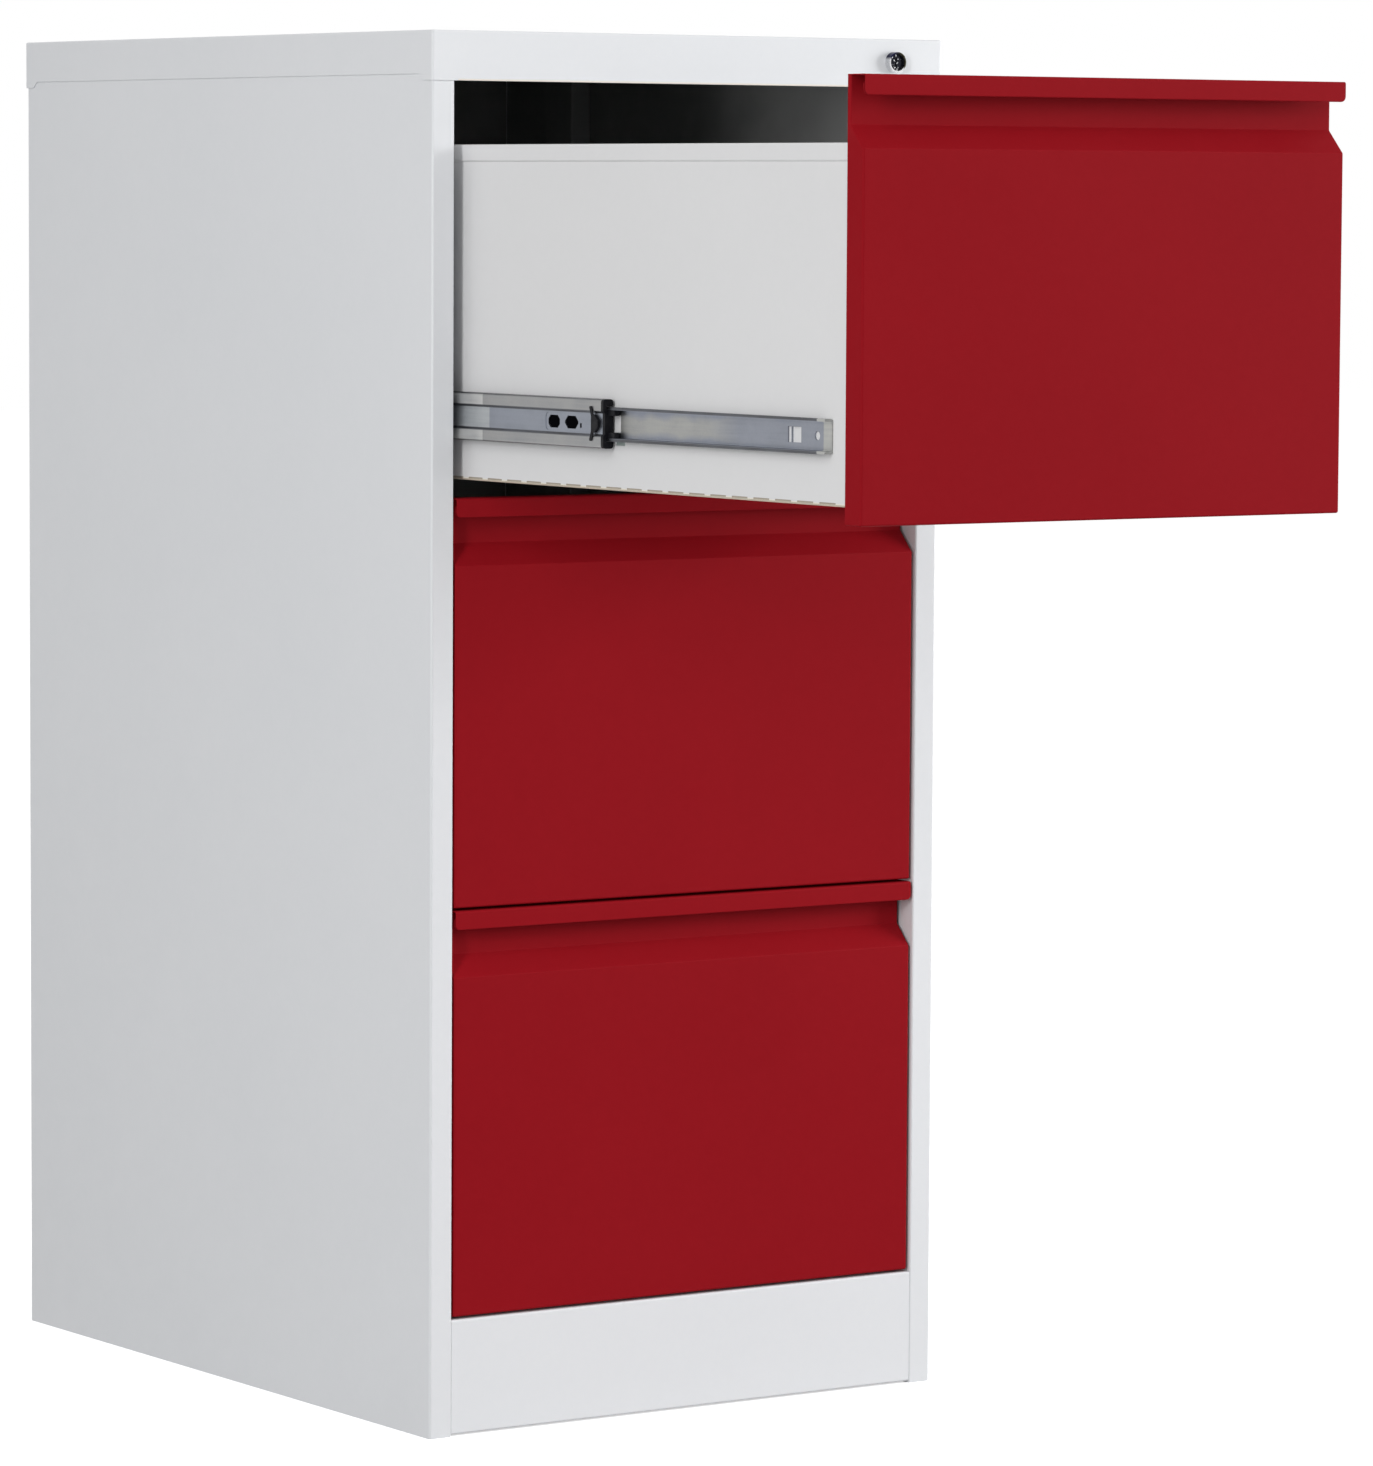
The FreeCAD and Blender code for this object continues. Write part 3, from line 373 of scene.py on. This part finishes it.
def plated(finish, colour):
    """Zinc plate over a colour: streaks along the roll, soft clouds and small bright flecks."""
    along = finish.stretched(1.0, streak_stretch, 1.0)
    streaks = finish.ranged(finish.noise(zinc_streak, 4.0, 0.6, along), *wide_span)
    clouds = finish.ranged(finish.noise(zinc_cloud, 3.0), *soft_span)
    flecks = finish.ranged(finish.noise(zinc_fleck, 2.0), 0.35, 0.75)
    dull = finish.all_of(
        finish.ranged(clouds, 0.0, 1.0, 0.2, 0.55),
        finish.ranged(streaks, 0.0, 1.0, 1.0, 0.35),
    )
    toned = finish.blend(dull, colour, zinc_shade)
    gloss = finish.ranged(finish.maths("ADD", streaks, flecks), 0.0, 2.0, 0.30, 0.50)
    normal = finish.bump(streaks, 0.00004, 0.35, finish.bump(flecks, 0.00003, 0.3))
    return finish.set(Base_Color=toned, Roughness=gloss, Normal=normal, Metallic=1.0)


def zinc_steel():
    """Plain zinc-plated steel."""
    finish = Finish("zinc_plate")
    drift = finish.ranged(finish.noise(zinc_drift, 3.0), *soft_span)
    return plated(finish, finish.blend(drift, zinc_band, zinc_web))


def zinc_middle_member(node):
    """Plate with a bluish sunk web between two greyer bands, painted light that makes both paler towards
    the back end, and painted shade along the bends between them and along the edges.
    """
    finish = Finish("zinc_plate_bands_" + node)
    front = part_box(node)[0].y
    _, y, z = finish.axes()
    off = finish.off_row(z)
    on_band = finish.ranged(off, web_edge, band_edge)
    # Painted shade: dark lines along the bends between bands and web, and along the member's edges.
    bend = finish.all_of(
        finish.ranged(off, web_edge - line_blur, web_edge + line_blur),
        finish.falling(off, band_edge - line_blur, band_edge + line_blur),
    )
    rim = finish.ranged(off, member_edge - line_blur, member_edge + 2 * line_blur)
    # Painted light: bands and web turn paler from a set distance behind the member's front end, and this
    # moves with the member.
    band_start = front + band_light_from
    web_start = front + web_light_from
    lit_band = finish.ranged(y, band_start, band_start + pale_blur)
    lit_web = finish.ranged(y, web_start, web_start + pale_blur)
    band = finish.blend(lit_band, zinc_band, zinc_band_painted_light)
    web = finish.blend(lit_web, zinc_web, zinc_web_painted_light)
    colour = finish.blend(on_band, web, band)
    crease_shade = finish.maths("MAXIMUM", bend, rim)
    return plated(finish, finish.blend(crease_shade, colour, zinc_crease_shade))


def zinc_drawer_member(node):
    """Plate with a warm grey middle, bluish margins, painted shade along the top and bottom edges, a pale
    flared end, and hook tabs painted pale and matt as painted light.
    """
    finish = Finish("zinc_plate_strip_" + node)
    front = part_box(node)[0].y
    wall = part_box("bottom_tray")[1].x - wall_from_band
    x, y, z = finish.axes()
    off = finish.off_row(z)
    wander = finish.ranged(finish.noise(strip_wander, 3.0), *wide_span, -strip_stray, strip_stray)
    margin = finish.ranged(finish.maths("ADD", off, wander), *strip_middle)
    near_front = finish.ranged(y, front + blue_end, front + warm_start, 0.9, 0.0)
    margin = finish.maths("MAXIMUM", margin, near_front)
    colour = finish.blend(margin, zinc_strip, zinc_strip_blue)
    flared = finish.falling(y, front + flared_end, front + flared_end + flare_blur)
    # Painted shade: a dark line along the top and bottom edges of the strip.
    cut_edge = finish.ranged(off, strip_edge - line_blur, strip_edge + line_blur)
    colour = finish.blend(cut_edge, colour, zinc_crease_shade)
    # Painted light: behind the tray's wall the hook tabs are painted pale and made non-metal, lifting the
    # shade they sit in.
    in_tray = finish.maths("LESS_THAN", finish.maths("ABSOLUTE", x), wall - sheet)
    colour = finish.blend(in_tray, colour, tab_painted_light)
    plated(finish, finish.blend(flared, colour, zinc_flare))
    return finish.set(Metallic=finish.maths("SUBTRACT", 1.0, in_tray), Specular_IOR_Level=0.3)


def polished_balls():
    """Hardened steel balls, held in a dark greased strip."""
    finish = Finish("polished_steel")
    z = finish.axes()[2]
    web = finish.falling(finish.off_row(z), retainer_web, retainer_web + line_blur)
    film = finish.ranged(finish.noise(ball_film, 3.0), *soft_span)
    steel = finish.blend(film, ball_light, ball_dull)
    colour = finish.blend(web, steel, greased_strip)
    steel_gloss = finish.ranged(film, 0.0, 1.0, 0.10, 0.28)
    gloss = finish.maths("ADD", steel_gloss, finish.maths("MULTIPLY", web, 0.3))
    normal = finish.bump(finish.noise(ball_scratch, 2.0), 0.00001, 0.3)
    metal = finish.maths("SUBTRACT", 1.0, web)
    finish.set(Base_Color=colour, Roughness=gloss, Normal=normal, Metallic=metal)
    return finish.set(Specular_IOR_Level=0.0)


def moulded_plastic():
    """Black moulded plastic with a spark-eroded grain and rubbed high spots."""
    finish = Finish("black_moulded_plastic")
    rubbed = finish.ranged(finish.noise(plastic_rub, 2.0), 0.5, 0.75)
    colour = finish.blend(rubbed, plastic_black, plastic_rubbed)
    gloss = finish.ranged(rubbed, 0.0, 1.0, 0.52, 0.36)
    normal = finish.bump(finish.noise(plastic_grain, 3.0), 0.00005, 0.5)
    finish.set(Base_Color=colour, Roughness=gloss, Normal=normal, IOR=1.49)
    return finish.set(Specular_IOR_Level=0.12)


def lock_chrome():
    """Chrome plate with a painted reflection of a dark room above and a bright one below, and a face
    painted dark with bright specks.
    """
    finish = Finish("chrome_plate")
    low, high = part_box("lock_housing")
    x, _, z = finish.axes()
    across = finish.maths("SUBTRACT", x, (low.x + high.x) / 2)
    up = finish.maths("SUBTRACT", z, (low.z + high.z) / 2)
    squares = finish.maths("ADD", finish.maths("POWER", across, 2.0), finish.maths("POWER", up, 2.0))
    radius = finish.maths("SQRT", squares)
    specks = finish.ranged(finish.noise(chrome_speck, 3.0), 0.5, 0.7)
    bright = finish.blend(specks, chrome_light, chrome_dull)
    # Painted reflection: the rim is bright chrome at the lower left and navy to olive above a slanted
    # line, and the face inside the mouth is dark with bright specks.
    tint = finish.ranged(across, -tint_half, tint_half)
    dark = finish.blend(tint, chrome_navy, chrome_olive)
    slant = finish.maths("ADD", up, finish.maths("MULTIPLY", across, rim_slant))
    reflection_dark = finish.ranged(slant, reflection_dark_low, reflection_dark_high)
    rim = finish.blend(reflection_dark, bright, dark)
    face_specks = finish.ranged(finish.noise(face_speck_cell, 1.0), 0.60, 0.63)
    face = finish.blend(face_specks, chrome_dark, chrome_light)
    in_mouth = finish.falling(radius, mouth_radius, mouth_radius + mouth_blur)
    colour = finish.blend(in_mouth, rim, face)
    gloss = finish.ranged(specks, 0.0, 1.0, 0.08, 0.22)
    normal = finish.bump(finish.noise(chrome_ripple, 2.0), 0.00001, 0.25)
    return finish.set(Base_Color=colour, Roughness=gloss, Normal=normal, Metallic=1.0)


def dress_nodes():
    """Every CAD node gets the finish of its material slot, and slide members one of their own."""
    finishes = {
        "body_paint": carcass_paint(),
        "front_paint": front_paint(),
        "drawer_paint": drawer_paint(),
        "zinc_steel": zinc_steel(),
        "ball_steel": polished_balls(),
        "black_plastic": moulded_plastic(),
        "lock_chrome": lock_chrome(),
    }
    finishes["liner_paint"] = finishes["drawer_paint"]
    for part in frame["record"]["subparts"]:
        name = part["node"]
        if name.endswith("_middle_member"):
            finish = zinc_middle_member(name)
        elif name.endswith("_drawer_member"):
            finish = zinc_drawer_member(name)
        else:
            finish = finishes[part["material_slot"]]
        for material_slot in nodes[name].material_slots:
            material_slot.material = finish


def camera():
    """The photograph's camera."""
    forward = Vector((
        -math.sin(camera_yaw) * math.cos(camera_pitch),
        math.cos(camera_yaw) * math.cos(camera_pitch),
        math.sin(camera_pitch),
    ))
    right = Vector((math.cos(camera_yaw), math.sin(camera_yaw), 0.0))
    up = right.cross(forward)
    rolled_right = math.cos(camera_roll) * right + math.sin(camera_roll) * up
    rolled_up = math.cos(camera_roll) * up - math.sin(camera_roll) * right
    data = bpy.data.cameras.new("camera")
    data.sensor_fit = "AUTO"
    data.sensor_width = sensor_size
    data.lens = focal_pixels * sensor_size / photo_height
    data.clip_end = camera_reach
    eye = bpy.data.objects.new("camera", data)
    bpy.context.scene.collection.objects.link(eye)
    axes = Matrix((rolled_right, rolled_up, -forward)).transposed()
    eye.matrix_world = Matrix.Translation(camera_place) @ axes.to_4x4()
    bpy.context.scene.camera = eye


def seen_directly(tree):
    """One where the camera, a reflection or glass looks straight at the surface, and otherwise zero."""
    path = tree.nodes.new("ShaderNodeLightPath")
    total = path.outputs["Is Camera Ray"]
    for name in ("Is Glossy Ray", "Is Transmission Ray"):
        added = tree.nodes.new("ShaderNodeMath")
        added.operation = "MAXIMUM"
        tree.links.new(total, added.inputs[0])
        tree.links.new(path.outputs[name], added.inputs[1])
        total = added.outputs["Value"]
    return total


def white_world(level):
    """A white surround that lights the cabinet at a lower level than it shows."""
    world = bpy.data.worlds.new("studio")
    bpy.context.scene.world = world
    world.use_nodes = True
    tree = world.node_tree
    background = tree.nodes["Background"]
    background.inputs["Color"].default_value = (1.0, 1.0, 1.0, 1.0)
    strength = tree.nodes.new("ShaderNodeMapRange")
    tree.links.new(seen_directly(tree), strength.inputs["Value"])
    strength.inputs["To Min"].default_value = level
    strength.inputs["To Max"].default_value = 1.0
    tree.links.new(strength.outputs["Result"], background.inputs["Strength"])


def white_floor(size, shade, glow):
    """A plain floor that looks white, keeps the shadow and throws back less light than it shows."""
    half = size / 2
    mesh = bpy.data.meshes.new("floor")
    corners = [(-half, -half, 0), (half, -half, 0), (half, half, 0), (-half, half, 0)]
    mesh.from_pydata(corners, [], [(0, 1, 2, 3)])
    floor = bpy.data.objects.new("floor", mesh)
    bpy.context.scene.collection.objects.link(floor)
    finish = Finish("floor_paper")
    grain = finish.ranged(finish.noise(floor_grain, 3.0), *wide_span, 0.985, 1.0)
    shown = finish.add("ShaderNodeCombineColor", {0: grain, 1: grain, 2: grain}).outputs["Color"]
    direct = seen_directly(finish.tree)
    colour = finish.blend(direct, (shade, shade, shade), shown)
    lift = finish.ranged(direct, 0.0, 1.0, 0.0, glow)
    finish.set(Emission_Color=(1.0, 1.0, 1.0), Emission_Strength=lift)
    mesh.materials.append(finish.set(Base_Color=colour, Roughness=0.9, Specular_IOR_Level=0.0))


def softbox(name, place, width, height, power):
    """A soft rectangular lamp that points at the cabinet's middle."""
    data = bpy.data.lights.new(name, "AREA")
    data.shape = "RECTANGLE"
    data.size = width
    data.size_y = height
    data.energy = power
    lamp = bpy.data.objects.new(name, data)
    bpy.context.scene.collection.objects.link(lamp)
    lamp.location = place
    lamp.rotation_euler = (lamps_aim - Vector(place)).to_track_quat("-Z", "Y").to_euler()
    lamp.visible_camera = False


def studio():
    """White surroundings and four softboxes, two of them at the left."""
    white_world(world_level)
    white_floor(floor_size, floor_shade, floor_glow)
    softbox("left_softbox", place=(-3.7, -2.55, 1.3), width=0.6, height=1.8, power=50.0)
    softbox("left_high_softbox", place=(-3.5, -2.60, 3.0), width=0.6, height=2.2, power=44.0)
    softbox("right_softbox", place=(4.2, -2.2, 1.4), width=2.2, height=2.2, power=166.0)
    softbox("high_softbox", place=(2.4, -4.0, 2.8), width=2.5, height=2.5, power=16.0)


dress_nodes()
camera()
studio()
bpy.context.scene.view_settings.view_transform = "Standard"
